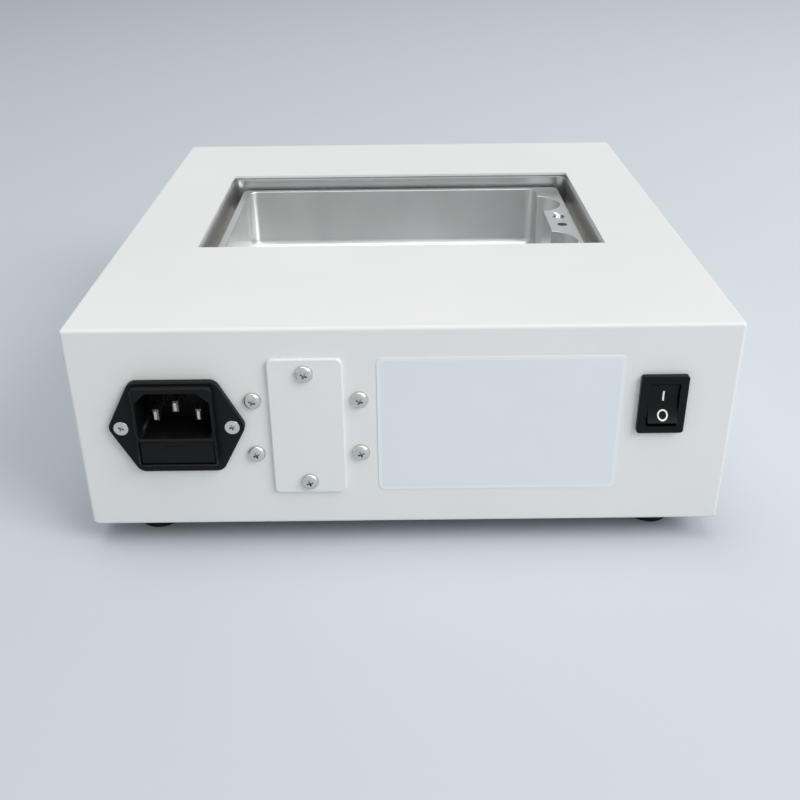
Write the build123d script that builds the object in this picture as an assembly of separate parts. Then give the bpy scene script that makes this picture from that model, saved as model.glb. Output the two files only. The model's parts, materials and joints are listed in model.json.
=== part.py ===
from build123d import *
import math
import os

# Bench dry bath with one heated well. Millimetres, +Z up. The rear panel with the mains inlet faces +Y,
# the sloping control panel faces -Y. The origin is the middle of the footprint, on the bench top.

# Case
case_width = 214.0
case_height = 72.9
top_length = 231.8
nose_run = 48.0
lip_height = 22.3
case_wall = 1.0
bend_radius = 1.2
return_flange = 12.0
corner_relief = 1.5
case_screw_inset = 6.6
case_screw_end_inset = 60.0

# Base plate and feet
base_thickness = 1.2
base_inset = 3.0
foot_height = 7.7
foot_top_radius = 8.0
foot_base_radius = 7.0
foot_edge_round = 0.8
foot_side_inset = 19.0
foot_end_inset = 17.5
foot_recess_radius = 4.4
foot_recess_depth = 4.0
vent_slot_length = 28.0
vent_slot_width = 3.0
vent_slot_pitch = 9.0
vent_slot_count = 5
vent_end_inset = 46.0
rear_vent_side_inset = 74.0

# Top window and its liner
window_side_margin = 30.2
window_length = 98.5
window_setback = 125.4
liner_wall = 0.8
liner_side_step = 0.3
liner_end_step = 3.7
liner_bend = 2.5
liner_corner = 4.0
liner_top_flange = 6.0
liner_base_flange = 9.0
liner_screw_inset = 17.1

# Heating well
well_side_gap = 3.9
well_end_gap = 2.8
well_recess = 7.0
well_corner = 3.0
well_floor = 10.0
thin_rim = 3.3
thick_rim = 11.3
pocket_depth = 26.5
pocket_corner = 4.0
pocket_floor_round = 4.0
edge_break = 0.4
bite_radius = 11.5
bite_pitch = 49.6
bite_overlap = 2.6
thermometer_bore_radius = 2.6
spare_bore_radius = 2.05
rim_bore_depth = 25.0
rim_bore_pitch = 10.7
rim_bore_inset = 5.55

# Heater, sensors and insulation
post_radius = 4.0
post_inset = 11.0
post_stud_length = 6.0
heater_margin = 20.0
heater_thickness = 1.2
clamp_thickness = 3.0
heater_screw_inset = 8.0
heater_screw_grip = 5.0
cutout_radius = 8.0
cutout_height = 5.0
cutout_tab_span = 30.0
probe_radius = 2.0
probe_depth = 25.0
probe_height = 5.0
probe_stub = 6.0
probe_grommet_radius = 3.5
wrap_top_gap = 9.0
wrap_floor_gap = 9.0

# Fasteners: thread radii are the outer ones, holes are drilled for clearance or tapped
m3_thread = 1.45
m3_hole = 1.7
m3_head = 2.9
m3_head_height = 2.0
m3_nut_flats = 5.5
m3_nut_height = 2.4
m4_thread = 1.95
m4_hole = 2.2
m4_head = 3.8
m4_head_height = 2.5
m4_nut_flats = 7.0
m4_nut_height = 3.2
head_chamfer = 0.6
tapping_gap = 0.05
thread_end = 1.0

# Rear panel: places are measured from the side edges and up from the panel's middle
inlet_side_inset = 33.5
inlet_rise = 2.6
inlet_flange_width = 44.0
inlet_flange_height = 33.0
inlet_flange_flat = 27.5
inlet_flange_round = 3.6
inlet_flange_thickness = 2.3
inlet_rim_height = 2.7
inlet_rim_width = 26.0
inlet_rim_round = 1.6
inlet_body_height = 28.3
inlet_body_lift = 1.35
inlet_body_depth = 30.0
inlet_screw_pitch = 36.0
inlet_screw_head = 2.45
cavity_width = 24.0
cavity_height = 16.35
cavity_bottom = -2.4
cavity_round = 1.2
cavity_chamfer_x = 3.9
cavity_chamfer_y = 3.6
cavity_depth = 15.5
pin_thickness = 2.0
pin_height = 4.0
pin_pitch = 14.0
pin_rise = 3.15
earth_pin_lift = 3.7
pin_tip_setback = 0.5
earth_pin_lead = 1.2
pin_tip_chamfer = 0.55
pin_tail = 8.0
tail_thickness = 0.8
drawer_width = 24.0
drawer_height = 8.0
drawer_depth = 23.0
drawer_wall = 1.3
drawer_face_setback = 0.2
drawer_gap = 0.2
fuse_radius = 2.5
fuse_length = 20.0

switch_side_inset = 23.7
switch_rise = 8.75
bezel_width = 15.2
bezel_height = 20.7
bezel_thickness = 2.0
bezel_round = 1.0
switch_body_width = 12.8
switch_body_height = 18.9
switch_body_depth = 16.0
rocker_width = 9.5
rocker_side_gap = 0.2
rocker_end_gap = 0.3
rocker_swing_radius = 7.3
rocker_half_face = 6.3
rocker_dish = 1.5
rocker_back_depth = 4.5
rocker_back_half = 3.5
rocker_pivot_depth = 1.1
rocker_tilt = 12.0
axle_radius = 1.2
axle_gap = 0.05
axle_reach = 1.0
terminal_width = 4.8
terminal_length = 8.0
terminal_pitch_x = 6.0
terminal_pitch_y = 9.0

cover_offset = 42.2
cover_rise = 1.45
cover_width = 23.8
cover_height = 49.3
cover_thickness = 1.5
cover_round = 1.8
cover_screw_pitch = 40.0
access_width = 15.0
access_height = 30.0
panel_screw_pitch_x = 34.5
panel_screw_pitch_y = 19.7

label_gap_cover = 10.95
label_gap_switch = 5.1
label_rise = 1.45
label_height = 49.0
label_round = 2.0
label_thickness = 0.2

# Power board behind the cover plate
board_thickness = 1.6
board_spacer_length = 8.0
board_width = 52.0
board_height = 46.0
relay_width = 19.0
relay_height = 15.5
relay_depth = 15.7
relay_rise = 14.0
sink_width = 25.0
sink_height = 10.0
sink_depth = 20.0
sink_fin = 1.4
sink_fin_count = 6
sink_web = 2.0
block_width = 24.0
block_height = 9.0
block_depth = 10.0
block_drop = 16.0
trimmer_size = 6.6
trimmer_depth = 5.0
trimmer_pitch = 16.0

# Mains transformer on the base plate
transformer_side_inset = 69.0
transformer_setback = 42.0
core_width = 41.0
core_height = 34.0
core_stack = 14.0
core_limb = 13.6
core_yoke = 6.8
coil_depth = 30.0
strap_thickness = 1.0
strap_foot = 9.0
piece_gap = 0.3

# Earth stud on the base plate
earth_side_inset = 30.0
earth_setback = 50.0
earth_stud_height = 12.0

# Control panel on the sloping front
overlay_side_margin = 18.0
overlay_end_margin = 7.0
overlay_thickness = 0.5
overlay_round = 4.0
lens_margin = 16.0
lens_key_gap = 20.5
lens_height = 28.0
lens_round = 2.0
lens_ledge = 4.0
display_height = 19.0
display_side_gap = 3.8
display_gap = 0.3
key_width = 13.0
key_height = 11.0
key_round = 2.0
key_pitch = 19.0
key_margin = 5.5
key_proud = 1.0
key_gap = 0.25
key_flange = 1.2
key_flange_thickness = 1.0
key_rest_gap = 0.2
key_travel = 0.6
key_stem_radius = 1.75
key_stem_grip = 1.2
tact_size = 6.2
tact_height = 3.5
control_gap = 6.5
control_board_height = 36.0
control_board_margin = 10.0
control_post_radius = 2.5
control_post_inset = 4.5
chip_size = 10.0
chip_height = 1.6

key_names = ("key_set", "key_up", "key_down", "key_start")

# Levels and planes that follow from the sizes above
LOW = (Align.CENTER, Align.CENTER, Align.MIN)
HIGH = (Align.CENTER, Align.CENTER, Align.MAX)
DOWN = Rot(180, 0, 0)

rear_proud = inlet_flange_thickness + inlet_rim_height
case_depth = top_length + nose_run
rear_y = (case_depth - rear_proud) / 2
front_y = rear_y - case_depth
nose_y = rear_y - top_length
case_middle_y = (rear_y + front_y) / 2
base_bottom = foot_height
floor_z = base_bottom + base_thickness
shell_top = floor_z + case_height
lip_top = floor_z + lip_height
under_top = shell_top - case_wall
slope_angle = math.atan2(case_height - lip_height, nose_run)
slope_length = math.hypot(case_height - lip_height, nose_run)

window_width = case_width - 2 * window_side_margin
well_y = rear_y - window_setback
liner_width = window_width + 2 * liner_side_step
liner_length = window_length + 2 * liner_end_step
well_width = liner_width - 2 * well_side_gap
well_length = liner_length - 2 * well_end_gap
well_top = shell_top - well_recess
well_bottom = well_top - pocket_depth - well_floor
pocket_width = well_width - thin_rim - thick_rim
pocket_length = well_length - 2 * thin_rim
pocket_x = (thick_rim - thin_rim) / 2
pocket_wall_x = pocket_x - pocket_width / 2
clamp_bottom = well_bottom - heater_thickness - clamp_thickness
heater_width = well_width - 2 * heater_margin
heater_length = well_length - 2 * heater_margin

# On the rear panel x runs to the right as seen from behind and y runs up, both from its middle
rear_panel = Plane(origin=(0, rear_y, floor_z + case_height / 2), x_dir=(-1, 0, 0), z_dir=(0, 1, 0))
slope_panel = Plane(
    origin=(0, (nose_y + front_y) / 2, (shell_top + lip_top) / 2),
    x_dir=(1, 0, 0),
    z_dir=(0, -math.sin(slope_angle), math.cos(slope_angle)),
)

inlet_x = inlet_side_inset - case_width / 2
cover_x = inlet_x + cover_offset
switch_x = case_width / 2 - switch_side_inset
label_left = cover_x + cover_width / 2 + label_gap_cover
label_right = switch_x - bezel_width / 2 - label_gap_switch
inlet_spot = rear_panel * Pos(inlet_x, inlet_rise, 0)
cover_spot = rear_panel * Pos(cover_x, cover_rise, 0)
switch_spot = rear_panel * Pos(switch_x, switch_rise, 0)
label_spot = rear_panel * Pos((label_left + label_right) / 2, label_rise, 0)

transformer_x = transformer_side_inset - case_width / 2
transformer_y = rear_y - transformer_setback
earth_x = case_width / 2 - earth_side_inset
earth_y = rear_y - earth_setback

board_front = -case_wall - control_gap
board_back = board_front - board_thickness
overlay_width = case_width - 2 * overlay_side_margin
key_last_x = overlay_width / 2 - key_margin - key_width / 2
key_xs = [key_last_x - key_pitch * i for i in reversed(range(len(key_names)))]
lens_left = lens_margin - overlay_width / 2
lens_right = key_xs[0] - key_width / 2 - lens_key_gap
lens_width = lens_right - lens_left
display_x = (lens_left + lens_right) / 2
display_width = lens_width - 2 * lens_ledge - 2 * display_side_gap
board_left = display_x - display_width / 2 - control_board_margin
board_right = key_xs[-1] + key_width / 2 + control_board_margin
control_board_width = board_right - board_left
control_board_x = (board_left + board_right) / 2


def corners(spread_x, spread_y, x=0.0, y=0.0):
    """The four corners of a rectangle, as (x, y) pairs."""
    return [(x + i * spread_x / 2, y + j * spread_y / 2) for i in (-1, 1) for j in (-1, 1)]


def group(items):
    """Separate solids that share one node."""
    return Compound([solid for item in items for solid in item.solids()])


def at_spots(spots, z, solid):
    return [Pos(x, y, z) * solid for x, y in spots]


def drill(body, spots, z, radius, depth):
    """Cuts a round hole down from height z at each spot."""
    for hole in at_spots(spots, z, Cylinder(radius, depth, align=HIGH)):
        body -= hole
    return body


def screw(thread, head, head_height, length):
    """Pan-head screw: its seat is at z = 0 and its shank points down."""
    cap = Cylinder(head, head_height, align=LOW)
    cap = chamfer(cap.edges().sort_by(Axis.Z)[-1:], head_chamfer)
    return cap + Cylinder(thread, length, align=HIGH)


def m3_screw(length):
    return screw(m3_thread, m3_head, m3_head_height, length)


def m4_screw(length):
    return screw(m4_thread, m4_head, m4_head_height, length)


def hex_nut(flats, height, thread):
    """Hexagon nut that stands on z = 0."""
    return extrude(RegularPolygon(flats / 2, 6, major_radius=False) - Circle(thread + tapping_gap), height)


def m3_nut():
    return hex_nut(m3_nut_flats, m3_nut_height, m3_thread)


def m4_nut():
    return hex_nut(m4_nut_flats, m4_nut_height, m4_thread)


case_screw_spots = [
    (side * (case_width / 2 - case_screw_inset), y)
    for side in (-1, 1)
    for y in (front_y + case_screw_end_inset, case_middle_y, rear_y - case_screw_end_inset)
]
foot_spots = corners(case_width - 2 * foot_side_inset, case_depth - 2 * foot_end_inset, 0, case_middle_y)
liner_screw_y = liner_length / 2 + liner_wall + liner_base_flange / 2
liner_screw_spots = corners(liner_width - 2 * liner_screw_inset, 2 * liner_screw_y, 0, well_y)
post_spots = corners(well_width - 2 * post_inset, well_length - 2 * post_inset, 0, well_y)
heater_screw_spots = corners(
    heater_width - 2 * heater_screw_inset, heater_length - 2 * heater_screw_inset, 0, well_y
)
strap_screw_x = core_width / 2 + strap_thickness + strap_foot / 2
transformer_screw_spots = [(transformer_x + side * strap_screw_x, transformer_y) for side in (-1, 1)]
cover_screw_spots = [(0, -cover_screw_pitch / 2), (0, cover_screw_pitch / 2)]
panel_screw_spots = corners(panel_screw_pitch_x, panel_screw_pitch_y)
inlet_screw_spots = [(-inlet_screw_pitch / 2, 0), (inlet_screw_pitch / 2, 0)]


def case_block():
    """Outer form of the folded case before its edges are rounded."""
    side = Polyline(
        (rear_y, floor_z),
        (rear_y, shell_top),
        (nose_y, shell_top),
        (front_y, lip_top),
        (front_y, floor_z),
        close=True,
    )
    return extrude(Plane.YZ * make_face(side), case_width / 2, both=True)


def through_wall(spot, sketch):
    return extrude(spot * sketch, 3 * case_wall, both=True)


def make_case_shell():
    block = case_block()
    hollow = offset(block, -case_wall)
    shell = fillet(block.edges(), bend_radius) - fillet(hollow.edges(), bend_radius - case_wall)
    mouth = Box(case_width - 2 * return_flange, case_depth - 2 * return_flange, 4 * case_wall)
    shell -= Pos(0, case_middle_y, floor_z) * mouth
    shell -= Pos(0, well_y, shell_top) * Box(window_width, window_length, 4 * case_wall)
    for x, y in corners(case_width, case_depth, 0, case_middle_y):
        shell -= Pos(x, y, floor_z) * Cylinder(corner_relief, 2 * bend_radius)
    shell = drill(shell, case_screw_spots, floor_z + 2 * case_wall, m3_hole, 3 * case_wall)
    inlet_hole = Rectangle(inlet_rim_width + 2 * piece_gap, inlet_body_height + 2 * piece_gap)
    shell -= through_wall(inlet_spot * Pos(0, inlet_body_lift), inlet_hole)
    shell -= through_wall(switch_spot, Rectangle(switch_body_width + piece_gap, switch_body_height + piece_gap))
    shell -= through_wall(cover_spot, RectangleRounded(access_width, access_height, cover_round))
    rear_holes = [inlet_spot * Pos(x, y) for x, y in inlet_screw_spots]
    rear_holes += [cover_spot * Pos(x, y) for x, y in cover_screw_spots + panel_screw_spots]
    for spot in rear_holes:
        shell -= through_wall(spot, Circle(m3_hole))
    lens_opening = Rectangle(lens_width - 2 * lens_ledge, lens_height - 2 * lens_ledge)
    shell -= through_wall(slope_panel * Pos(display_x, 0, 0), lens_opening)
    for x in key_xs:
        shell -= through_wall(slope_panel * Pos(x, 0, 0), key_outline(key_gap))
    return shell


def make_base_plate():
    plate = Box(case_width - 2 * base_inset, case_depth - 2 * base_inset, base_thickness, align=LOW)
    plate = Pos(0, case_middle_y, base_bottom) * plate
    slot = extrude(SlotOverall(vent_slot_length, vent_slot_width, rotation=90), base_thickness)
    rows = [(0, front_y + vent_end_inset), (case_width / 2 - rear_vent_side_inset, rear_y - vent_end_inset)]
    for row_x, row_y in rows:
        for i in range(vent_slot_count):
            x = row_x + vent_slot_pitch * (i - (vent_slot_count - 1) / 2)
            plate -= Pos(x, row_y, base_bottom) * slot
    m3_spots = case_screw_spots + liner_screw_spots + transformer_screw_spots
    plate = drill(plate, m3_spots, floor_z, m3_hole, base_thickness)
    m4_spots = foot_spots + post_spots + [(earth_x, earth_y)]
    return drill(plate, m4_spots, floor_z, m4_hole, base_thickness)


def make_rubber_foot():
    profile = Polyline(
        (m4_hole, foot_recess_depth),
        (m4_hole, foot_height),
        (foot_top_radius, foot_height),
        (foot_base_radius, 0),
        (foot_recess_radius, 0),
        (foot_recess_radius, foot_recess_depth),
        close=True,
    )
    foot = revolve(Plane.XZ * make_face(profile), Axis.Z)
    rim = foot.edges().filter_by(GeomType.CIRCLE).filter_by_position(Axis.Z, -0.01, 0.01)
    return fillet(rim.sort_by(SortBy.RADIUS)[-1:], foot_edge_round)


def make_well_liner():
    """Formed sleeve round the well: a flange under the case top and a foot flange on the base plate."""
    height = under_top - floor_z
    inside = RectangleRounded(liner_width, liner_length, liner_corner)

    def rim(reach):
        radius = liner_corner + reach
        return RectangleRounded(liner_width + 2 * reach, liner_length + 2 * reach, radius)

    liner = extrude(rim(liner_wall), height)
    liner += extrude(rim(liner_wall + liner_base_flange), liner_wall)
    liner += Pos(0, 0, height - liner_wall) * extrude(rim(liner_top_flange), liner_wall)
    liner -= extrude(inside, height)
    mouth = liner.edges().filter_by_position(Axis.Z, height - 0.01, height + 0.01)
    mouth = mouth.filter_by(lambda e: inside_of(e, liner_width, liner_length))
    liner = fillet(mouth, liner_bend)
    throat = liner.edges().filter_by_position(Axis.Z, height - liner_wall - 0.01, height - liner_wall + 0.01)
    throat = throat.filter_by(
        lambda e: inside_of(e, liner_width + 2 * liner_wall, liner_length + 2 * liner_wall)
    )
    liner = fillet(throat, liner_bend - liner_wall)
    liner = Pos(0, well_y, floor_z) * liner
    liner = drill(liner, liner_screw_spots, floor_z + liner_wall, m3_hole, liner_wall)
    grommet_spot = Pos(0, well_y - liner_length / 2, well_bottom + probe_height)
    return liner - grommet_spot * Rot(90, 0, 0) * Cylinder(probe_grommet_radius, 4 * liner_wall)


def inside_of(edge, width, length):
    """True for an edge on the outline of a centred rectangle, or within it."""
    box = edge.bounding_box()
    slack = 0.01
    return max(box.max.X, -box.min.X) < width / 2 + slack and max(box.max.Y, -box.min.Y) < length / 2 + slack


def make_heating_well():
    block = extrude(RectangleRounded(well_width, well_length, well_corner), pocket_depth + well_floor)
    pocket = Pos(pocket_x, 0, well_floor) * extrude(
        RectangleRounded(pocket_width, pocket_length, pocket_corner), pocket_depth
    )
    for side in (-1, 1):
        spot = Pos(pocket_wall_x + bite_overlap, side * bite_pitch / 2, well_floor)
        pocket += spot * Cylinder(bite_radius, pocket_depth, align=LOW)
    floor_edges = pocket.edges().filter_by_position(Axis.Z, well_floor - 0.01, well_floor + 0.01)
    pocket = fillet(floor_edges, pocket_floor_round)
    well = block - pocket
    top = pocket_depth + well_floor
    well = chamfer(well.edges().filter_by_position(Axis.Z, top - 0.01, top + 0.01), edge_break)
    bore_x = rim_bore_inset - well_width / 2
    well = drill(well, [(bore_x, -rim_bore_pitch / 2)], top, thermometer_bore_radius, rim_bore_depth)
    well = drill(well, [(bore_x, rim_bore_pitch / 2)], top, spare_bore_radius, rim_bore_depth)
    well = Pos(0, well_y, well_bottom) * well
    stud_hole = post_stud_length + thread_end
    well = drill(well, post_spots, well_bottom + stud_hole, m4_thread + tapping_gap, stud_hole)
    screw_hole = heater_screw_grip + thread_end
    well = drill(well, heater_screw_spots, well_bottom + screw_hole, m3_thread + tapping_gap, screw_hole)
    mouth = Pos(0, well_y - well_length / 2, well_bottom + probe_height) * Rot(-90, 0, 0)
    return well - mouth * Cylinder(probe_radius + 2 * tapping_gap, probe_depth + thread_end, align=LOW)


def make_well_posts():
    height = well_bottom - floor_z
    post = Cylinder(post_radius, height, align=LOW)
    post += Cylinder(m4_thread, height + post_stud_length, align=LOW)
    post -= Cylinder(m4_thread + tapping_gap, height / 2, align=LOW)
    return group(at_spots(post_spots, floor_z, post))


def make_heater_plate(top, thickness):
    plate = Pos(0, well_y, top) * Box(heater_width, heater_length, thickness, align=HIGH)
    return drill(plate, heater_screw_spots, top, m3_hole, thickness)


def make_thermal_cutout():
    """Disc thermostat under the clamp plate, with a flat terminal on each side."""
    disc = Cylinder(cutout_radius, cutout_height, align=HIGH)
    tabs = Box(cutout_tab_span, terminal_width, tail_thickness, align=LOW)
    return Pos(0, well_y, clamp_bottom) * (disc + Pos(0, 0, -cutout_height) * tabs)


def make_well_probe():
    length = probe_depth + well_end_gap + liner_wall + probe_stub
    mouth = Pos(0, well_y - well_length / 2 + probe_depth, well_bottom + probe_height)
    return mouth * Rot(90, 0, 0) * Cylinder(probe_radius, length, align=LOW)


def make_floor_insulation():
    top = clamp_bottom - m3_head_height - piece_gap
    bottom = floor_z + piece_gap
    slab = Box(liner_width - 4 * piece_gap, liner_length - 4 * piece_gap, top - bottom, align=LOW)
    slab = Pos(0, well_y, bottom) * fillet(slab.edges().filter_by(Axis.Z), liner_corner)
    slab = drill(slab, post_spots, top, post_radius + piece_gap, top - bottom)
    recess_depth = cutout_height + terminal_width
    recess = Box(cutout_tab_span + 4 * piece_gap, 2 * cutout_radius + 4 * piece_gap, recess_depth, align=HIGH)
    return slab - Pos(0, well_y, top) * recess


def make_wall_insulation():
    outer = RectangleRounded(liner_width - 2 * piece_gap, liner_length - 2 * piece_gap, liner_corner - piece_gap)
    inner = RectangleRounded(well_width + 2 * piece_gap, well_length + 2 * piece_gap, well_corner + piece_gap)
    bottom = well_bottom + wrap_floor_gap
    return Pos(0, well_y, bottom) * extrude(outer - inner, well_top - wrap_top_gap - bottom)


def make_inlet_body():
    half_tip = inlet_flange_width / 2 + tip_rounding()
    half_flat = inlet_flange_flat / 2
    half_height = inlet_flange_height / 2
    outline = Polyline(
        (half_tip, 0),
        (half_flat, half_height),
        (-half_flat, half_height),
        (-half_tip, 0),
        (-half_flat, -half_height),
        (half_flat, -half_height),
        close=True,
    )
    outline = make_face(outline)
    flange = extrude(fillet(outline.vertices(), inlet_flange_round), inlet_flange_thickness)
    flange = chamfer(flange.faces().sort_by(Axis.Z)[-1].edges(), edge_break)
    rim = extrude(RectangleRounded(inlet_rim_width, inlet_body_height, inlet_rim_round), rear_proud)
    rim = chamfer(rim.faces().sort_by(Axis.Z)[-1].edges(), edge_break)
    back = Box(inlet_rim_width, inlet_body_height, inlet_body_depth, align=HIGH)
    body = flange + Pos(0, inlet_body_lift) * (rim + back)
    body -= Pos(0, 0, rear_proud) * extrude(cavity_outline(), -cavity_depth)
    bay_depth = drawer_depth + drawer_gap
    bay = Box(drawer_width + 2 * drawer_gap, drawer_height + 2 * drawer_gap, bay_depth, align=HIGH)
    body -= Pos(0, drawer_y(), rear_proud) * bay
    for x, y, _ in pin_spots():
        body -= Pos(x, y, 0) * Box(pin_thickness + 2 * tapping_gap, pin_height + 2 * tapping_gap, 3 * inlet_body_depth)
    for x, y in inlet_screw_spots:
        body -= Pos(x, y, 0) * Cylinder(m3_hole, 3 * inlet_flange_thickness)
        sink = Cone(m3_hole, inlet_screw_head + tapping_gap, countersink_depth(), align=HIGH)
        body -= Pos(x, y, inlet_flange_thickness) * sink
    return inlet_spot * body


def tip_rounding():
    """How much the rounding takes off the sharp tip of the flange."""
    slant = math.atan2(inlet_flange_height, inlet_flange_width - inlet_flange_flat)
    return inlet_flange_round * (1 / math.sin(slant) - 1)


def countersink_depth():
    return inlet_screw_head - m3_thread


def drawer_y():
    """Height of the fuse drawer's middle under the cavity."""
    return cavity_bottom - drawer_wall - drawer_gap - drawer_height / 2


def pin_spots():
    """Place and tip height of each pin: the earth pin stands highest and leads the others."""
    side = pin_pitch / 2
    tip = -pin_tip_setback
    return [(-side, pin_rise, tip), (side, pin_rise, tip), (0, pin_rise + earth_pin_lift, tip + earth_pin_lead)]


def cavity_outline():
    half = cavity_width / 2
    top = cavity_bottom + cavity_height
    outline = Polyline(
        (-half, cavity_bottom),
        (half, cavity_bottom),
        (half, top - cavity_chamfer_y),
        (half - cavity_chamfer_x, top),
        (cavity_chamfer_x - half, top),
        (-half, top - cavity_chamfer_y),
        close=True,
    )
    outline = make_face(outline)
    return fillet(outline.vertices().sort_by(Axis.Y)[:2], cavity_round)


def make_inlet_pins():
    pins = []
    for x, y, tip in pin_spots():
        blade = Box(pin_thickness, pin_height, inlet_body_depth + tip, align=HIGH)
        blade = Pos(0, 0, tip) * chamfer(blade.faces().sort_by(Axis.Z)[-1].edges(), pin_tip_chamfer)
        tail = Pos(0, 0, -inlet_body_depth) * Box(tail_thickness, pin_height, pin_tail, align=HIGH)
        pins.append(Pos(x, y) * (blade + tail))
    return inlet_spot * group(pins)


def make_inlet_screws():
    sink = Cone(m3_thread, inlet_screw_head, countersink_depth(), align=HIGH)
    length = inlet_flange_thickness + case_wall + m3_nut_height + thread_end
    one = sink + Cylinder(m3_thread, length, align=HIGH)
    return inlet_spot * group(at_spots(inlet_screw_spots, inlet_flange_thickness, one))


def fuse_setbacks():
    """Places of the fuse in use and of the spare, measured back from the drawer's face."""
    pitch = 2 * fuse_radius + 2 * drawer_wall
    first = drawer_wall + drawer_gap + fuse_radius + drawer_wall
    return [first, first + pitch]


def make_fuse_drawer():
    depth = drawer_depth - drawer_face_setback
    drawer = Box(drawer_width, drawer_height, depth, align=HIGH)
    drawer = chamfer(drawer.faces().sort_by(Axis.Z)[-1].edges(), edge_break)
    trough_height = drawer_height - drawer_wall
    for setback in fuse_setbacks():
        trough = Box(fuse_length + 2 * drawer_gap, trough_height, 2 * fuse_radius + 2 * drawer_gap)
        drawer -= Pos(0, drawer_wall / 2 + tapping_gap, -setback) * trough
    lip = Box(6 * drawer_wall, drawer_wall, drawer_face_setback, align=LOW)
    drawer += Pos(0, drawer_height / 2 - 1.5 * drawer_wall, 0) * lip
    return inlet_spot * Pos(0, drawer_y(), rear_proud - drawer_face_setback) * drawer


def make_fuses():
    seat = drawer_wall + 2 * tapping_gap + fuse_radius - drawer_height / 2
    fuse = Rot(0, 90, 0) * Cylinder(fuse_radius, fuse_length)
    spot = inlet_spot * Pos(0, drawer_y() + seat, rear_proud - drawer_face_setback)
    return group(spot * Pos(0, 0, -setback) * fuse for setback in fuse_setbacks())


def make_switch_housing():
    bezel = extrude(RectangleRounded(bezel_width, bezel_height, bezel_round), bezel_thickness)
    bezel = chamfer(bezel.faces().sort_by(Axis.Z)[-1].edges(), edge_break)
    housing = bezel + Box(switch_body_width, switch_body_height, switch_body_depth, align=HIGH)
    well_width_x = rocker_width + 2 * rocker_side_gap
    well_height_y = 2 * (rocker_swing_radius + rocker_end_gap)
    well_depth = bezel_thickness + rocker_pivot_depth + rocker_swing_radius
    housing -= Pos(0, 0, bezel_thickness) * Box(well_width_x, well_height_y, well_depth, align=HIGH)
    axle_hole = Cylinder(axle_radius + axle_gap, 2 * switch_body_width)
    housing -= Pos(0, 0, -rocker_pivot_depth) * Rot(0, 90, 0) * axle_hole
    return switch_spot * housing


def make_switch_rocker():
    """Dished rocker on its axle, stored with its upper end pressed in."""
    face_y = rocker_half_face
    face_z = math.sqrt(rocker_swing_radius**2 - rocker_half_face**2)
    middle = 0.5 * (rocker_half_face + rocker_swing_radius)
    middle_z = math.sqrt(rocker_swing_radius**2 - middle**2)
    dish = ThreePointArc((-face_y, face_z), (0, face_z - rocker_dish), (face_y, face_z))
    upper_end = ThreePointArc((face_y, face_z), (middle, middle_z), (rocker_swing_radius, 0))
    back = Polyline(
        (rocker_swing_radius, 0),
        (rocker_back_half, -rocker_back_depth),
        (-rocker_back_half, -rocker_back_depth),
        (-rocker_swing_radius, 0),
    )
    lower_end = ThreePointArc((-rocker_swing_radius, 0), (-middle, middle_z), (-face_y, face_z))
    profile = make_face(dish + upper_end + back + lower_end)
    rocker = extrude(Plane.YZ * profile, rocker_width / 2, both=True)
    rocker += Rot(0, 90, 0) * Cylinder(axle_radius, rocker_width + 2 * axle_reach)
    return switch_spot * Pos(0, 0, -rocker_pivot_depth) * Rot(-rocker_tilt, 0, 0) * rocker


def make_switch_terminals():
    tab = Box(tail_thickness, terminal_width, terminal_length, align=HIGH)
    spots = corners(terminal_pitch_x, terminal_pitch_y)
    return switch_spot * group(at_spots(spots, -switch_body_depth, tab))


def make_cover_plate():
    plate = extrude(RectangleRounded(cover_width, cover_height, cover_round), cover_thickness)
    plate = chamfer(plate.faces().sort_by(Axis.Z)[-1].edges(), edge_break)
    return cover_spot * drill(plate, cover_screw_spots, cover_thickness, m3_hole, cover_thickness)


def make_cover_screws():
    one = m3_screw(cover_thickness + case_wall + m3_nut_height + thread_end)
    return cover_spot * group(at_spots(cover_screw_spots, cover_thickness, one))


def spacer_grip():
    """Depth that each screw reaches into a spacer."""
    return (board_spacer_length - thread_end) / 2


def make_panel_screws():
    return cover_spot * group(at_spots(panel_screw_spots, 0, m3_screw(case_wall + spacer_grip())))


def make_board_spacers():
    spacer = hex_nut(m3_nut_flats, board_spacer_length, m3_thread)
    return cover_spot * group(at_spots(panel_screw_spots, -case_wall - board_spacer_length, spacer))


def power_board_spot():
    """The power board's inner face, with z pointing into the case."""
    return cover_spot * Pos(0, 0, -case_wall - board_spacer_length - board_thickness) * DOWN


def make_power_board():
    board = Box(board_width, board_height, board_thickness, align=HIGH)
    return power_board_spot() * drill(board, panel_screw_spots, 0, m3_hole, board_thickness)


def make_board_screws():
    return power_board_spot() * group(at_spots(panel_screw_spots, 0, m3_screw(board_thickness + spacer_grip())))


def make_power_relay():
    return power_board_spot() * Pos(0, -relay_rise, 0) * Box(relay_width, relay_height, relay_depth, align=LOW)


def make_heat_sink():
    sink = Box(sink_width, sink_web, sink_depth, align=LOW)
    pitch = (sink_width - sink_fin) / (sink_fin_count - 1)
    for i in range(sink_fin_count):
        x = i * pitch - (sink_width - sink_fin) / 2
        sink += Pos(x, 0, 0) * Box(sink_fin, sink_height, sink_depth, align=LOW)
    return power_board_spot() * sink


def make_terminal_block():
    block = Box(block_width, block_height, block_depth, align=LOW)
    way = block_width / 4
    for i in range(4):
        x = way * (i - 1.5)
        block -= Pos(x, 0, block_depth) * Box(way / 2, block_height / 2, block_depth)
    return power_board_spot() * Pos(0, block_drop, 0) * block


def make_trimmers():
    """Two trimmers that face the opening under the cover plate."""
    one = Box(trimmer_size, trimmer_size, trimmer_depth, align=LOW)
    one -= Pos(0, 0, trimmer_depth) * Box(0.7 * trimmer_size, 0.15 * trimmer_size, 0.2 * trimmer_depth)
    spots = [(0, -trimmer_pitch / 2), (0, trimmer_pitch / 2)]
    return cover_spot * group(at_spots(spots, -case_wall - board_spacer_length, one))


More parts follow.
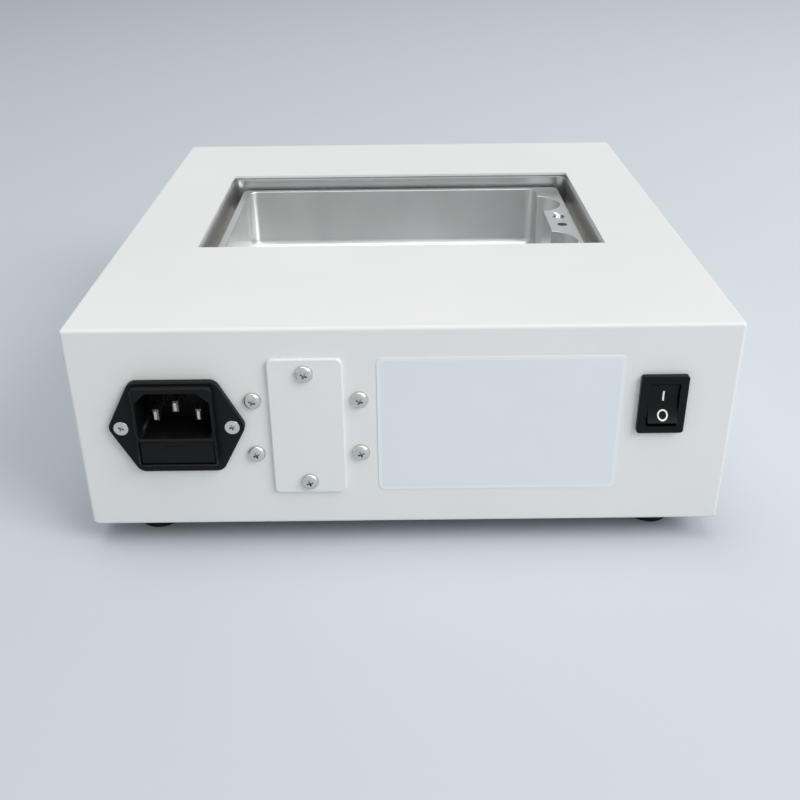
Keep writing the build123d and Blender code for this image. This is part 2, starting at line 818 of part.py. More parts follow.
def make_rating_label():
    outline = RectangleRounded(label_right - label_left, label_height, label_round)
    return label_spot * extrude(outline, label_thickness)


def make_transformer_core():
    core = Box(core_width, core_stack, core_height, align=LOW)
    opening_width = (core_width - core_limb) / 2 - core_yoke
    opening = Box(opening_width, core_stack, core_height - 2 * core_yoke)
    for side in (-1, 1):
        x = side * (core_limb + opening_width) / 2
        core -= Pos(x, 0, core_height / 2) * opening
    return Pos(transformer_x, transformer_y, floor_z + strap_thickness) * core


def make_transformer_coil():
    width = core_width - 2 * core_yoke - 2 * piece_gap
    height = core_height - 2 * core_yoke - 2 * piece_gap
    coil = Box(width, coil_depth, height)
    coil = fillet(coil.edges().filter_by(Axis.Z), core_yoke / 2)
    coil -= Box(core_limb + 2 * piece_gap, core_stack + 2 * piece_gap, core_height)
    return Pos(transformer_x, transformer_y, floor_z + strap_thickness + core_height / 2) * coil


def make_transformer_strap():
    """Sheet strap over the core, with a foot on each side and a floor strip under it."""
    inner_width = core_width
    height = core_height + 2 * strap_thickness
    frame = Box(inner_width + 2 * strap_thickness, core_stack, height, align=LOW)
    frame -= Pos(0, 0, strap_thickness) * Box(inner_width, core_stack, core_height, align=LOW)
    foot_span = inner_width + 2 * strap_thickness + 2 * strap_foot
    frame += Box(foot_span, core_stack, strap_thickness, align=LOW)
    frame = Pos(transformer_x, transformer_y, floor_z) * frame
    return drill(frame, transformer_screw_spots, floor_z + strap_thickness, m3_hole, strap_thickness)


def floor_screws(spots, clamped):
    """Screws from under the base plate through one clamped sheet and its nut."""
    one = DOWN * m3_screw(base_thickness + clamped + m3_nut_height + thread_end)
    return group(at_spots(spots, base_bottom, one))


def make_m3_nuts():
    """Nuts over the base plate, behind the rear panel and behind the control board."""
    nuts = at_spots(case_screw_spots, floor_z + case_wall, m3_nut())
    nuts += at_spots(liner_screw_spots, floor_z + liner_wall, m3_nut())
    nuts += at_spots(transformer_screw_spots, floor_z + strap_thickness, m3_nut())
    behind_wall = -case_wall - m3_nut_height
    nuts += [inlet_spot * nut for nut in at_spots(inlet_screw_spots, behind_wall, m3_nut())]
    nuts += [cover_spot * nut for nut in at_spots(cover_screw_spots, behind_wall, m3_nut())]
    behind_board = board_back - m3_nut_height
    nuts += [slope_panel * nut for nut in at_spots(control_post_spots(), behind_board, m3_nut())]
    return group(nuts)


def make_m4_nuts():
    return group(at_spots(foot_spots + [(earth_x, earth_y)], floor_z, m4_nut()))


def key_outline(grow):
    return RectangleRounded(key_width + 2 * grow, key_height + 2 * grow, key_round)


def lens_outline(grow):
    return RectangleRounded(lens_width + 2 * grow, lens_height + 2 * grow, lens_round)


def make_control_overlay():
    height = slope_length - 2 * overlay_end_margin
    outline = RectangleRounded(overlay_width, height, overlay_round)
    outline -= Pos(display_x, 0) * lens_outline(0)
    for x in key_xs:
        outline -= Pos(x, 0) * key_outline(key_gap)
    return slope_panel * extrude(outline, overlay_thickness)


def make_display_lens():
    return slope_panel * Pos(display_x, 0, 0) * extrude(lens_outline(-tapping_gap), overlay_thickness)


def make_display_module():
    height = control_gap + case_wall - display_gap
    return slope_panel * Pos(display_x, 0, board_front) * Box(display_width, display_height, height, align=LOW)


def make_key(x):
    """Key cap through the panel, with a retaining flange behind it and a stem into its switch."""
    flange_top = -case_wall - key_rest_gap
    cap_top = overlay_thickness + key_proud
    cap = Pos(0, 0, flange_top) * extrude(key_outline(0), cap_top - flange_top)
    cap = chamfer(cap.faces().sort_by(Axis.Z)[-1].edges(), edge_break)
    flange = Pos(0, 0, flange_top - key_flange_thickness) * extrude(
        key_outline(key_flange), key_flange_thickness
    )
    stem_tip = board_front + tact_height - key_stem_grip
    stem = Pos(0, 0, stem_tip) * Cylinder(key_stem_radius, flange_top - stem_tip, align=LOW)
    return slope_panel * Pos(x, 0, 0) * (cap + flange + stem)


def make_key_switches():
    one = Box(tact_size, tact_size, tact_height, align=LOW)
    well_depth = key_stem_grip + key_travel + piece_gap
    one -= Pos(0, 0, tact_height) * Cylinder(key_stem_radius + 3 * tapping_gap, well_depth, align=HIGH)
    return group(slope_panel * Pos(x, 0, board_front) * one for x in key_xs)


def control_post_spots():
    spread_x = control_board_width - 2 * control_post_inset
    spread_y = control_board_height - 2 * control_post_inset
    return corners(spread_x, spread_y, control_board_x, 0)


def make_control_board():
    board = Pos(control_board_x, 0, board_front) * Box(
        control_board_width, control_board_height, board_thickness, align=HIGH
    )
    return slope_panel * drill(board, control_post_spots(), board_front, m3_hole, board_thickness)


def make_control_posts():
    """Welded studs behind the sloping panel, each with a shoulder for the board."""
    post = Cylinder(control_post_radius, control_gap, align=HIGH)
    stud = control_gap + board_thickness + m3_nut_height + thread_end
    post += Cylinder(m3_thread, stud, align=HIGH)
    return slope_panel * group(at_spots(control_post_spots(), -case_wall, post))


def make_control_chip():
    chip = Box(chip_size, chip_size, chip_height, align=HIGH)
    return slope_panel * Pos(control_board_x, 0, board_back) * chip


def make_earth_stud():
    """Stud from under the base plate, with a pan head and room for ring terminals over its nut."""
    length = base_thickness + m4_nut_height + earth_stud_height
    return Pos(earth_x, earth_y, base_bottom) * DOWN * m4_screw(length)


pieces = {
    "case_shell": make_case_shell(),
    "base_plate": make_base_plate(),
    "case_screws": floor_screws(case_screw_spots, case_wall),
    "m3_nuts": make_m3_nuts(),
    "m4_nuts": make_m4_nuts(),
    "rubber_feet": group(at_spots(foot_spots, 0, make_rubber_foot())),
    "foot_screws": group(
        at_spots(
            foot_spots,
            foot_recess_depth,
            DOWN * m4_screw(floor_z - foot_recess_depth + m4_nut_height + thread_end),
        )
    ),
    "well_liner": make_well_liner(),
    "liner_screws": floor_screws(liner_screw_spots, liner_wall),
    "heating_well": make_heating_well(),
    "well_posts": make_well_posts(),
    "post_screws": group(
        at_spots(
            post_spots, base_bottom, DOWN * m4_screw(base_thickness + (well_bottom - floor_z) / 2 - thread_end)
        )
    ),
    "flat_heater": make_heater_plate(well_bottom, heater_thickness),
    "heater_clamp": make_heater_plate(well_bottom - heater_thickness, clamp_thickness),
    "heater_screws": group(
        at_spots(
            heater_screw_spots,
            clamp_bottom,
            DOWN * m3_screw(clamp_thickness + heater_thickness + heater_screw_grip),
        )
    ),
    "thermal_cutout": make_thermal_cutout(),
    "well_probe": make_well_probe(),
    "floor_insulation": make_floor_insulation(),
    "wall_insulation": make_wall_insulation(),
    "inlet_body": make_inlet_body(),
    "inlet_pins": make_inlet_pins(),
    "inlet_screws": make_inlet_screws(),
    "fuse_drawer": make_fuse_drawer(),
    "fuses": make_fuses(),
    "switch_housing": make_switch_housing(),
    "switch_rocker": make_switch_rocker(),
    "switch_terminals": make_switch_terminals(),
    "cover_plate": make_cover_plate(),
    "cover_screws": make_cover_screws(),
    "panel_screws": make_panel_screws(),
    "board_spacers": make_board_spacers(),
    "power_board": make_power_board(),
    "board_screws": make_board_screws(),
    "power_relay": make_power_relay(),
    "triac_heat_sink": make_heat_sink(),
    "terminal_block": make_terminal_block(),
    "trimmers": make_trimmers(),
    "rating_label": make_rating_label(),
    "transformer_core": make_transformer_core(),
    "transformer_coil": make_transformer_coil(),
    "transformer_strap": make_transformer_strap(),
    "transformer_screws": floor_screws(transformer_screw_spots, strap_thickness),
    "earth_stud": make_earth_stud(),
    "control_overlay": make_control_overlay(),
    "display_lens": make_display_lens(),
    "display_module": make_display_module(),
    "key_switches": make_key_switches(),
    "control_board": make_control_board(),
    "control_posts": make_control_posts(),
    "control_chip": make_control_chip(),
}
for name, x in zip(key_names, key_xs):
    pieces[name] = make_key(x)

os.makedirs("parts", exist_ok=True)
for name, piece in pieces.items():
    export_step(piece, f"parts/{name}.step")
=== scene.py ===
import json
import math

import bmesh
import bpy
from mathutils import Matrix, Vector
from mathutils.bvhtree import BVHTree


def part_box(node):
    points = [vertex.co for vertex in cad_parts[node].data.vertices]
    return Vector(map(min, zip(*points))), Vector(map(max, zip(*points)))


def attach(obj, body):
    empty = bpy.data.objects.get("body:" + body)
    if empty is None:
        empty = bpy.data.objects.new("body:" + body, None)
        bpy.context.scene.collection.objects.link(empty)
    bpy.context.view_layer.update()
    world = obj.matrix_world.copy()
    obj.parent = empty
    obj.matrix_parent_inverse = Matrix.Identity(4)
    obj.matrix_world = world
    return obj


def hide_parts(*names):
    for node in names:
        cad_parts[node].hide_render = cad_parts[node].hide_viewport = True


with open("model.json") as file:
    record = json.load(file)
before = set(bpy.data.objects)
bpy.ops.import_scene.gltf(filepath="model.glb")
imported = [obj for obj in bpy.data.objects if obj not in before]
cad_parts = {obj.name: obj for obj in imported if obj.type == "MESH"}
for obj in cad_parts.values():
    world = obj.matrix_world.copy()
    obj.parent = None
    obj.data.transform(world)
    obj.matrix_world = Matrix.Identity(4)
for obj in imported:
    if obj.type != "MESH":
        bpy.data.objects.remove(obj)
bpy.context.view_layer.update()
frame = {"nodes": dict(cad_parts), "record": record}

nodes = frame["nodes"]
joint_of_name = {joint["name"]: joint for joint in frame["record"]["behaviour"]["joints"]}

MM = 0.001
ACROSS = Vector((1, 0, 0))
REARWARD = Vector((0, 1, 0))
INTO_CASE = Vector((0, -1, 0))
UNDERSIDE = Vector((0, 0, -1))

# Printed and plated details, in metres
LABEL_CORNER = 2.0 * MM
LABEL_BORDER = (-1.3 * MM, -0.9 * MM)
OVERLAY_CORNER = 4.0 * MM
FRAME_LINE = (-3.0 * MM, -2.4 * MM)
INK_PROUD = 0.03 * MM
RAY_RUN_UP = 20 * MM
ROCKER_VIEW_GAP = 10 * MM
ON_SIGN_SIZE = (0.58 * MM, 3.4 * MM)
ON_SIGN_RISE = 3.0 * MM
OFF_SIGN_RADIUS = 1.72 * MM
OFF_SIGN_STROKE = 0.5 * MM
OFF_SIGN_DROP = 3.2 * MM
FIGURE_HEIGHT = 12.0 * MM
FIGURE_WIDTH = 6.6 * MM
FIGURE_PITCH = 11.0 * MM
BAR_WIDTH = 1.3 * MM
BAR_GAP = 0.25 * MM
POINT_RADIUS = 0.8 * MM
FIGURE_PROUD = 0.05 * MM
KEY_SIGN_RADIUS = 2.4 * MM
KEY_RING_RADIUS = 2.2 * MM
KEY_RING_STROKE = 0.7 * MM
FUSE_CAP_LENGTH = 5.0 * MM
FUSE_CAP_WALL = 0.15 * MM
FUSE_CAP_EDGE = 0.3 * MM
FUSE_CAP_FLOOR = 0.4 * MM
FUSE_TUBE_INSET = 0.6 * MM
FUSE_WIRE_RADIUS = 0.12 * MM

# Cross recesses, as shares of the head's radius, and the turn from one screw to the next
RECESS_ARM = 0.56
RECESS_WIDTH = 0.26
RECESS_DEPTH = 0.5
FIRST_TURN = 20
NEXT_TURN = 47


# Shader maths

class Signal:
    """A socket of a finish. Arithmetic on it adds Math nodes."""

    def __init__(self, finish, socket):
        self.finish = finish
        self.socket = socket

    def maths(self, operation, *values):
        return self.finish.node("Math", {"operation": operation}, dict(enumerate(values)))

    def __add__(self, other):
        return self.maths("ADD", self, other)

    def __radd__(self, other):
        return self.maths("ADD", other, self)

    def __sub__(self, other):
        return self.maths("SUBTRACT", self, other)

    def __rsub__(self, other):
        return self.maths("SUBTRACT", other, self)

    def __mul__(self, other):
        return self.maths("MULTIPLY", self, other)

    def __rmul__(self, other):
        return self.maths("MULTIPLY", other, self)

    def __truediv__(self, other):
        return self.maths("DIVIDE", self, other)

    def __pow__(self, other):
        return self.maths("POWER", self, other)

    def __gt__(self, other):
        return self.maths("GREATER_THAN", self, other)

    def __lt__(self, other):
        return self.maths("LESS_THAN", self, other)

    def __abs__(self):
        return self.maths("ABSOLUTE", self)

    def at_least(self, floor):
        return self.maths("MAXIMUM", self, floor)

    def wrapped(self, period):
        """The remainder after whole periods, never negative."""
        return self.maths("FLOORED_MODULO", self, period)

    def ramp(self, low, high):
        """0 below low, 1 above high, straight between them."""
        return self.finish.node(
            "MapRange", {"clamp": True}, {0: self, 1: low, 2: high, 3: 0.0, 4: 1.0}
        )


class Finish:
    """A node material on one Principled shader, written in row-frame metres."""

    def __init__(self, name, **shader):
        self.material = bpy.data.materials.new(name)
        self.material.use_nodes = True
        self.tree = self.material.node_tree
        self.shader = self.tree.nodes["Principled BSDF"]
        self.place = self.node("TexCoord", output="Object")
        for socket, value in shader.items():
            self.set(socket, value)

    def node(self, kind, settings=None, inputs=None, output=0):
        made = self.tree.nodes.new("ShaderNode" + kind)
        for key, value in (settings or {}).items():
            setattr(made, key, value)
        for key, value in (inputs or {}).items():
            self.feed(made.inputs[key], value)
        return Signal(self, made.outputs[output])

    def feed(self, socket, value):
        if isinstance(value, Signal):
            self.tree.links.new(value.socket, socket)
        else:
            socket.default_value = value

    def set(self, name, value):
        self.feed(self.shader.inputs[name.replace("_", " ")], value)

    def stretched(self, x, y, z, turn=(0.0, 0.0, 0.0)):
        return self.node("Mapping", {}, {"Vector": self.place, "Scale": (x, y, z), "Rotation": turn})

    def noise(self, scale, detail=2.0, roughness=0.5, where=None):
        sizes = {"Scale": scale, "Detail": detail, "Roughness": roughness}
        return self.node("TexNoise", {}, {"Vector": where or self.place, **sizes})

    def cells(self, scale, feature="F1", where=None, output="Distance"):
        inputs = {"Vector": where or self.place, "Scale": scale}
        return self.node("TexVoronoi", {"feature": feature}, inputs, output)

    def axes(self, where=None):
        parts = (where or self.place).socket
        split = self.tree.nodes.new("ShaderNodeSeparateXYZ")
        self.tree.links.new(parts, split.inputs[0])
        return [Signal(self, output) for output in split.outputs]

    def mix(self, share, first, second):
        """A colour between two colours."""
        return self.node(
            "Mix", {"data_type": "RGBA"}, {"Factor": share, 6: first, 7: second}, output=2
        )

    def bump(self, height, depth, strength=1.0):
        """Surface relief: a height of 1 stands depth metres proud."""
        normal = self.node("Bump", {}, {"Height": height, "Distance": depth, "Strength": strength})
        self.set("Normal", normal)


def plate_edge(across, rise, box, radius):
    """Distance out of a rounded rectangle, from signals that run across it and up it."""
    (left, low), (right, high) = box
    side = (abs(across - (left + right) / 2) - ((right - left) / 2 - radius)).at_least(0.0)
    end = (abs(rise - (low + high) / 2) - ((high - low) / 2 - radius)).at_least(0.0)
    return (side ** 2 + end ** 2) ** 0.5 - radius


def shade(red, green, blue):
    """A colour given as it looks on a screen, 0 to 255, as the shader wants it."""
    def linear(value):
        share = value / 255
        return share / 12.92 if share <= 0.04045 else ((share + 0.055) / 1.055) ** 2.4
    return (linear(red), linear(green), linear(blue), 1.0)


def powder_coat():
    """Satin off-white coat with a fine orange peel and faint unevenness."""
    coat = Finish("powder_coat", Specular_IOR_Level=0.45)
    clouds = coat.noise(9.0, 3.0)
    peel = coat.noise(900.0, 2.0, 0.55)
    grain = coat.noise(3200.0, 1.0)
    colour = coat.mix(clouds.ramp(0.35, 0.65), shade(228, 229, 228), shade(232, 233, 232))
    specks = coat.cells(420.0).ramp(0.03, 0.06)
    coat.set("Base_Color", coat.mix(specks, shade(224, 224, 221), colour))
    coat.set("Roughness", 0.46 + 0.1 * peel + 0.05 * clouds)
    coat.bump(peel * 0.8 + grain * 0.2, 0.012 * MM, 0.55)
    return coat


def zinc_sheet():
    """Galvanised sheet with spangles and drawing marks."""
    zinc = Finish("zinc_sheet", Metallic=1.0)
    spangle = zinc.cells(170.0, output="Color")
    tone = zinc.axes(spangle)[0]
    marks = zinc.noise(260.0, 3.0, where=zinc.stretched(0.06, 1.0, 1.0))
    zinc.set("Base_Color", zinc.mix(tone, shade(176, 180, 183), shade(203, 206, 208)))
    zinc.set("Roughness", 0.34 + 0.14 * tone + 0.1 * marks)
    zinc.bump(marks * 0.6 + tone * 0.4, 0.01 * MM, 0.4)
    return zinc


def along_wall(finish, scale, thin):
    """Streaks that run level round the walls: fine across their height."""
    return finish.noise(scale, 3.0, 0.6, where=finish.stretched(thin, thin, 1.0))


def liner_steel():
    """Stainless liner, brushed level round its walls."""
    steel = Finish("liner_steel", Metallic=1.0)
    brush = along_wall(steel, 2600.0, 0.02)
    coarse = along_wall(steel, 500.0, 0.03)
    cloud = steel.noise(45.0, 3.0)
    steel.set("Base_Color", steel.mix(cloud, shade(214, 214, 213), shade(230, 230, 229)))
    steel.set("Roughness", 0.18 + 0.16 * brush + 0.08 * cloud)
    steel.bump(brush * 0.7 + coarse * 0.3, 0.006 * MM, 0.5)
    return steel


def well_metal():
    """Machined and brushed well: upright brush marks on the walls, marks along X on level faces."""
    metal = Finish("well_metal", Metallic=1.0)
    upright = metal.noise(1500.0, 3.0, 0.6, where=metal.stretched(1.0, 1.0, 0.02))
    bands = metal.noise(120.0, 2.0, 0.5, where=metal.stretched(1.0, 1.0, 0.05))
    cutter = metal.noise(900.0, 3.0, 0.6, where=metal.stretched(0.03, 1.0, 1.0))
    cloud = metal.noise(38.0, 3.0, 0.6)
    facing = metal.axes(metal.node("NewGeometry", output="Normal"))[2]
    level = abs(facing).ramp(0.6, 0.9)
    marks = upright * (1 - level) + cutter * level
    metal.set("Base_Color", metal.mix(cloud, shade(207, 207, 206), shade(224, 224, 223)))
    metal.set("Roughness", 0.23 + 0.14 * marks + 0.1 * bands + 0.05 * cloud)
    metal.bump(marks * 0.75 + bands * 0.25, 0.008 * MM, 0.5)
    return metal


def extruded_aluminium():
    metal = Finish("extruded_aluminium", Metallic=1.0)
    lines = metal.noise(900.0, 2.0, 0.6, where=metal.stretched(1.0, 0.02, 1.0))
    metal.set("Base_Color", metal.mix(lines, shade(188, 189, 191), shade(208, 209, 211)))
    metal.set("Roughness", 0.32 + 0.16 * lines)
    metal.bump(lines, 0.008 * MM, 0.5)
    return metal


def plated_steel():
    """Bright nickel plate with light handling marks."""
    plate = Finish("plated_steel", Metallic=1.0)
    rub = plate.noise(700.0, 3.0, 0.6)
    cloud = plate.noise(160.0, 2.0)
    plate.set("Base_Color", plate.mix(cloud, shade(202, 200, 196), shade(222, 221, 218)))
    plate.set("Roughness", 0.16 + 0.14 * rub + 0.06 * cloud)
    plate.bump(rub, 0.004 * MM, 0.4)
    return plate


def nickel_brass():
    """Worn nickel over brass on the pins and tabs."""
    metal = Finish("nickel_brass", Metallic=1.0)
    wear = metal.noise(400.0, 3.0, 0.6).ramp(0.56, 0.72)
    rub = metal.noise(1600.0, 2.0, where=metal.stretched(1.0, 0.05, 1.0))
    metal.set("Base_Color", metal.mix(wear, shade(206, 204, 199), shade(201, 182, 130)))
    metal.set("Roughness", 0.2 + 0.18 * rub)
    metal.bump(rub, 0.004 * MM, 0.4)
    return metal


def moulded(name, dark, light, grain_size, rough, depth, gloss=0.4):
    """Moulded plastic with a fine sparked grain and slight flow marks."""
    plastic = Finish(name, Specular_IOR_Level=gloss)
    grain = plastic.noise(1000.0 / grain_size, 2.0, 0.6)
    pits = plastic.cells(1300.0 / grain_size).ramp(0.1, 0.7)
    flow = plastic.noise(60.0, 2.0)
    plastic.set("Base_Color", plastic.mix(flow, dark, light))
    plastic.set("Roughness", rough + 0.1 * grain + 0.06 * flow)
    plastic.bump(grain * 0.6 + pits * 0.4, depth * MM, 0.5)
    return plastic


def label_film():
    """Bare satin label of silver-blue film, with the faint waves of hand application."""
    film = Finish("label_film", Specular_IOR_Level=0.5)
    waves = film.noise(55.0, 2.0)
    fleck = film.noise(2200.0, 2.0)
    across, _, rise = film.axes()
    low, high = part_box("rating_label")
    edge = plate_edge(across, rise, ((low[0], low[2]), (high[0], high[2])), LABEL_CORNER)
    border = edge.ramp(*LABEL_BORDER)
    field = film.mix(waves, shade(224, 231, 236), shade(229, 235, 240))
    film.set("Base_Color", film.mix(border, field, shade(236, 238, 240)))
    film.set("Roughness", 0.34 + 0.1 * fleck)
    film.bump(waves * 0.9 + fleck * 0.1, 0.03 * MM, 0.35)
    return film


def fibre_felt():
    """White ceramic fibre with matted strands."""
    felt = Finish("fibre_felt", Sheen_Weight=0.4, Sheen_Roughness=0.6)
    strands = felt.noise(700.0, 4.0, 0.7, where=felt.stretched(1.0, 0.25, 0.6))
    cross = felt.noise(650.0, 4.0, 0.7, where=felt.stretched(0.25, 1.0, 0.8))
    tufts = felt.noise(120.0, 3.0)
    felt.set("Base_Color", felt.mix(tufts, shade(219, 214, 202), shade(240, 237, 228)))
    felt.set("Roughness", 0.85 + 0.1 * cross)
    felt.bump(strands * 0.4 + cross * 0.4 + tufts * 0.6, 0.35 * MM, 0.8)
    return felt


def mica_sheet():
    """Pressed mica with silvery flakes."""
    mica = Finish("mica_sheet", Specular_IOR_Level=0.6)
    flake = mica.cells(520.0, output="Color")
    tone = mica.axes(flake)[1]
    mica.set("Base_Color", mica.mix(tone, shade(142, 124, 92), shade(196, 181, 150)))
    mica.set("Roughness", 0.3 + 0.25 * tone)
    mica.bump(tone, 0.02 * MM, 0.5)
    return mica


def core_steel():
    """Stacked and varnished transformer sheets, seen edge on along Y."""
    steel = Finish("core_steel", Metallic=0.8)
    sheets = steel.axes()[1].wrapped(0.5 * MM) / (0.5 * MM)
    gap = abs(sheets - 0.5).ramp(0.36, 0.48)
    stain = steel.noise(140.0, 3.0)
    body = steel.mix(stain, shade(82, 82, 86), shade(112, 110, 108))
    steel.set("Base_Color", steel.mix(gap, body, shade(34, 33, 34)))
    steel.set("Roughness", 0.4 + 0.2 * stain)
    steel.bump(1 - gap, 0.06 * MM, 0.7)
    return steel


def coil_tape():
    """Yellow tape over the winding, with lapped turns."""
    tape = Finish("coil_tape", Coat_Weight=0.3, Coat_Roughness=0.2)
    laps = tape.axes()[2].wrapped(6.0 * MM) / (6.0 * MM)
    edge = abs(laps - 0.5).ramp(0.46, 0.5)
    ripple = tape.noise(300.0, 3.0, where=tape.stretched(1.0, 1.0, 3.0))
    tape.set("Base_Color", tape.mix(edge, shade(214, 176, 62), shade(160, 122, 36)))
    tape.set("Roughness", 0.34 + 0.2 * ripple)
    tape.bump(ripple * 0.5 + laps * 0.5, 0.05 * MM, 0.6)
    return tape


def board_laminate(name, upright_axis):
    """Green circuit board with tracks under the mask and tinned pads."""
    board = Finish(name, Coat_Weight=0.5, Coat_Roughness=0.15)
    across = board.axes()[0]
    rise = board.axes()[upright_axis]
    track_pitch = 2.54 * MM
    column = across.wrapped(track_pitch) / track_pitch
    row = rise.wrapped(track_pitch) / track_pitch
    steer = board.cells(260.0, output="Color")
    choice = board.axes(steer)[0] > 0.5
    lane = abs((column * choice + row * (1 - choice)) - 0.5)
    track = (1 - lane.ramp(0.14, 0.18)) * (board.axes(steer)[1] > 0.35)
    spot = ((column - 0.5) ** 2 + (row - 0.5) ** 2) ** 0.5
    pad = (1 - spot.ramp(0.24, 0.28)) * (board.axes(steer)[2] > 0.72)
    weave = board.noise(1500.0, 1.0)
    green = board.mix(weave, shade(22, 84, 52), shade(28, 96, 60))
    tracked = board.mix(track, green, shade(46, 124, 74))
    board.set("Base_Color", board.mix(pad, tracked, shade(206, 204, 198)))
    board.set("Metallic", pad)
    board.set("Roughness", 0.42 - 0.12 * pad + 0.06 * weave)
    board.bump(track * 0.5 + pad, 0.035 * MM, 0.8)
    return board


def tinted_lens():
    """Smoked window, clear enough to show lit digits."""
    lens = Finish("tinted_lens", Roughness=0.06, IOR=1.49, Coat_Weight=0.6, Coat_Roughness=0.04)
    smears = lens.noise(90.0, 3.0)
    lens.set("Base_Color", lens.mix(smears, shade(30, 12, 12), shade(38, 16, 15)))
    lens.set("Alpha", 0.42 + 0.08 * smears)
    return lens


def clear_glass():
    glass = Finish("clear_glass", Roughness=0.04, IOR=1.5, Specular_IOR_Level=0.7)
    smears = glass.noise(600.0, 3.0)
    glass.set("Base_Color", glass.mix(smears, shade(214, 226, 224), shade(226, 236, 234)))
    glass.set("Alpha", 0.26 + 0.12 * smears)
    return glass


def lit_segment():
    glow = Finish("lit_segment", Base_Color=shade(220, 30, 22), Emission_Strength=1.6)
    spread = glow.noise(900.0, 2.0)
    glow.set("Emission_Color", glow.mix(spread, shade(255, 48, 30), shade(255, 72, 44)))
    glow.set("Roughness", 0.4 + 0.1 * spread)
    return glow


def print_ink():
    """White pad-printed ink with slightly broken edges."""
    ink = Finish("print_ink", Specular_IOR_Level=0.4)
    speckle = ink.noise(2600.0, 2.0)
    ink.set("Base_Color", ink.mix(speckle, shade(232, 232, 230), shade(244, 244, 242)))
    ink.set("Roughness", 0.42 + 0.12 * speckle)
    ink.bump(speckle, 0.01 * MM, 0.4)
    return ink


def slope_frame():
    """Places a drawing on the sloping panel: x across, y up, z out, from the overlay's middle."""
    out = -Vector(joint_of_name["key_up_press"]["axis"]).normalized()
    low, high = (Vector(corner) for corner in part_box("control_overlay"))
    turn = Matrix((ACROSS, out.cross(ACROSS), out)).transposed().to_4x4()
    return Matrix.Translation((low + high) / 2) @ turn


slope = slope_frame()


def overlay_film():
    """Blue-grey panel film with a pale frame line and a fine matt texture."""
    film = Finish("overlay_film", Specular_IOR_Level=0.35)
    texture = film.noise(1700.0, 2.0)
    tone = film.noise(30.0, 2.0)
    across, depth, rise = film.axes()
    middle, up = slope.translation, slope.col[1]
    climb = (depth - middle.y) * up.y + (rise - middle.z) * up.z
    low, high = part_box("control_overlay")
    half = (Vector(high) - Vector(low)).yz.length / 2
    edge = plate_edge(across, climb, ((low[0], -half), (high[0], half)), OVERLAY_CORNER)
    line = (edge > FRAME_LINE[0]) * (edge < FRAME_LINE[1])
    field = film.mix(tone, shade(70, 86, 108), shade(76, 92, 114))
    film.set("Base_Color", film.mix(line, field, shade(206, 212, 218)))
    film.set("Roughness", 0.48 + 0.14 * texture)
    film.bump(texture, 0.014 * MM, 0.5)
    return film


coat = powder_coat()
zinc = zinc_sheet()
liner = liner_steel()
well = well_metal()
aluminium = extruded_aluminium()
plated = plated_steel()
nickel = nickel_brass()
inlet_plastic = moulded("inlet_plastic", shade(11, 11, 12), shade(15, 15, 16), 0.35, 0.34, 0.02, 0.18)
switch_plastic = moulded("switch_plastic", shade(9, 9, 10), shade(12, 12, 13), 0.3, 0.28, 0.016, 0.18)
rubber = moulded("foot_rubber", shade(24, 24, 25), shade(32, 32, 33), 0.6, 0.62, 0.05, 0.25)
key_plastic = moulded("key_plastic", shade(206, 209, 212), shade(212, 215, 218), 0.5, 0.38, 0.015)
blue_plastic = moulded("blue_plastic", shade(34, 62, 118), shade(40, 70, 128), 0.5, 0.36, 0.015, 0.5)
black_plastic = moulded("component_black", shade(26, 26, 28), shade(34, 34, 36), 0.5, 0.4, 0.02)
green_plastic = moulded("terminal_green", shade(34, 112, 70), shade(42, 124, 80), 0.5, 0.36, 0.02, 0.5)
label = label_film()
felt = fibre_felt()
mica = mica_sheet()
core = core_steel()
tape = coil_tape()
upright_board = board_laminate("board_upright", 2)
slope_board = board_laminate("board_slope", 1)
lens = tinted_lens()
glass = clear_glass()
segment_lit = lit_segment()
segment_dark = moulded("segment_dark", shade(58, 34, 32), shade(64, 38, 36), 0.4, 0.4, 0.01)
ink = print_ink()
sign_ink = moulded("sign_ink", shade(58, 70, 88), shade(64, 76, 94), 0.4, 0.45, 0.008)
overlay = overlay_film()


# Carried CAD solids

def dress(finish, *names):
    """Gives CAD nodes their finish."""
    for name in names:
        mesh_object = nodes[name]
        if not mesh_object.material_slots:
            mesh_object.data.materials.append(None)
        for slot in mesh_object.material_slots:
            slot.link = "OBJECT"
            slot.material = finish.material


dress(coat, "case_shell", "cover_plate")
dress(zinc, "base_plate", "well_posts", "heater_clamp", "transformer_strap")
dress(liner, "well_liner", "well_probe")
dress(well, "heating_well")
dress(aluminium, "triac_heat_sink")
dress(plated, "case_screws", "m3_nuts", "m4_nuts", "foot_screws", "liner_screws", "post_screws")
dress(plated, "heater_screws", "inlet_screws", "cover_screws", "panel_screws", "board_spacers")
dress(plated, "board_screws", "transformer_screws", "earth_stud", "control_posts")
dress(nickel, "inlet_pins", "switch_terminals")
dress(inlet_plastic, "inlet_body", "fuse_drawer")
dress(switch_plastic, "switch_housing", "switch_rocker")
dress(rubber, "rubber_feet")
dress(label, "rating_label")
dress(felt, "floor_insulation", "wall_insulation")
dress(mica, "flat_heater")
dress(core, "transformer_core")
dress(tape, "transformer_coil")
dress(upright_board, "power_board")
dress(slope_board, "control_board")
dress(blue_plastic, "power_relay", "trimmers")
dress(black_plastic, "thermal_cutout", "display_module", "key_switches", "control_chip")
dress(green_plastic, "terminal_block")
dress(glass, "fuses")
dress(overlay, "control_overlay")
dress(lens, "display_lens")
dress(key_plastic, "key_set", "key_up", "key_down", "key_start")

body_of_node = {
    node: body for body, members in frame["record"]["behaviour"]["bodies"].items() for node in members
}


